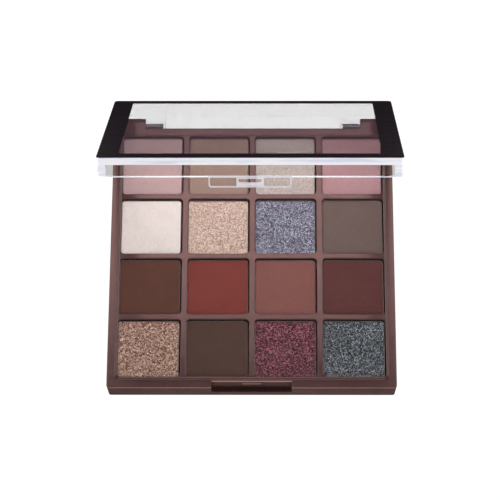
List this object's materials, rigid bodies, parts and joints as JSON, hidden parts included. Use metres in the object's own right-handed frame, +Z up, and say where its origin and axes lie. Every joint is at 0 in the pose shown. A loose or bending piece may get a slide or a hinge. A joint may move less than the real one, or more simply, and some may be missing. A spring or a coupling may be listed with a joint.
{
  "type": "eyeshadow palette",
  "caption": "Square eyeshadow palette: brown case and tray of pressed powder pans under a clear hinged lid with a dark printed border and a snap tab.",
  "frame": {"origin": "centre of the case's flat underside", "axes": "+Z up, +X to the user's right, +Y away from the user towards the hinge"},
  "size_m": [0.0992, 0.1123, 0.0891],
  "materials": {
    "case_plastic": "satin brown moulded ABS",
    "tray_plastic": "satin brown moulded ABS",
    "pan_tin": "bright drawn sheet",
    "pin_steel": "bright drawn wire",
    "glue": "cloudy adhesive",
    "clear_plastic": "clear polished styrene",
    "border_print": "black print",
    "powder_row1_col1": "pressed powder, matte",
    "powder_row1_col2": "pressed powder, matte",
    "powder_row1_col3": "pressed powder, fine shimmer",
    "powder_row1_col4": "pressed powder, satin",
    "powder_row2_col1": "pressed powder, matte",
    "powder_row2_col2": "pressed powder, coarse glitter",
    "powder_row2_col3": "pressed powder, coarse glitter",
    "powder_row2_col4": "pressed powder, matte",
    "powder_row3_col1": "pressed powder, matte",
    "powder_row3_col2": "pressed powder, matte",
    "powder_row3_col3": "pressed powder, matte",
    "powder_row3_col4": "pressed powder, matte",
    "powder_row4_col1": "pressed powder, coarse glitter",
    "powder_row4_col2": "pressed powder, matte",
    "powder_row4_col3": "pressed powder, coarse glitter",
    "powder_row4_col4": "pressed powder, fine glitter"
  },
  "bodies": {
    "base": {"case": "case_plastic", "pan_tray": "tray_plastic", "hinge_pin_left": "pin_steel", "hinge_pin_right": "pin_steel", "pan_row1_col1": "pan_tin", "pan_row1_col2": "pan_tin", "pan_row1_col3": "pan_tin", "pan_row1_col4": "pan_tin", "pan_row2_col1": "pan_tin", "pan_row2_col2": "pan_tin", "pan_row2_col3": "pan_tin", "pan_row2_col4": "pan_tin", "pan_row3_col1": "pan_tin", "pan_row3_col2": "pan_tin", "pan_row3_col3": "pan_tin", "pan_row3_col4": "pan_tin", "pan_row4_col1": "pan_tin", "pan_row4_col2": "pan_tin", "pan_row4_col3": "pan_tin", "pan_row4_col4": "pan_tin", "powder_row1_col1": "powder_row1_col1", "powder_row1_col2": "powder_row1_col2", "powder_row1_col3": "powder_row1_col3", "powder_row1_col4": "powder_row1_col4", "powder_row2_col1": "powder_row2_col1", "powder_row2_col2": "powder_row2_col2", "powder_row2_col3": "powder_row2_col3", "powder_row2_col4": "powder_row2_col4", "powder_row3_col1": "powder_row3_col1", "powder_row3_col2": "powder_row3_col2", "powder_row3_col3": "powder_row3_col3", "powder_row3_col4": "powder_row3_col4", "powder_row4_col1": "powder_row4_col1", "powder_row4_col2": "powder_row4_col2", "powder_row4_col3": "powder_row4_col3", "powder_row4_col4": "powder_row4_col4", "glue_row1_col1": "glue", "glue_row1_col2": "glue", "glue_row1_col3": "glue", "glue_row1_col4": "glue", "glue_row2_col1": "glue", "glue_row2_col2": "glue", "glue_row2_col3": "glue", "glue_row2_col4": "glue", "glue_row3_col1": "glue", "glue_row3_col2": "glue", "glue_row3_col3": "glue", "glue_row3_col4": "glue", "glue_row4_col1": "glue", "glue_row4_col2": "glue", "glue_row4_col3": "glue", "glue_row4_col4": "glue"},
    "lid": {"lid": "clear_plastic", "lid_border": "border_print"}
  },
  "joints": [
    {"name": "lid_hinge", "type": "hinge", "parent": "base", "child": "lid", "pos_m": [0, 0.05243, 0.0038], "axis": [-1, 0, 0], "range_deg": [-50.2, 41.8]}
  ]
}
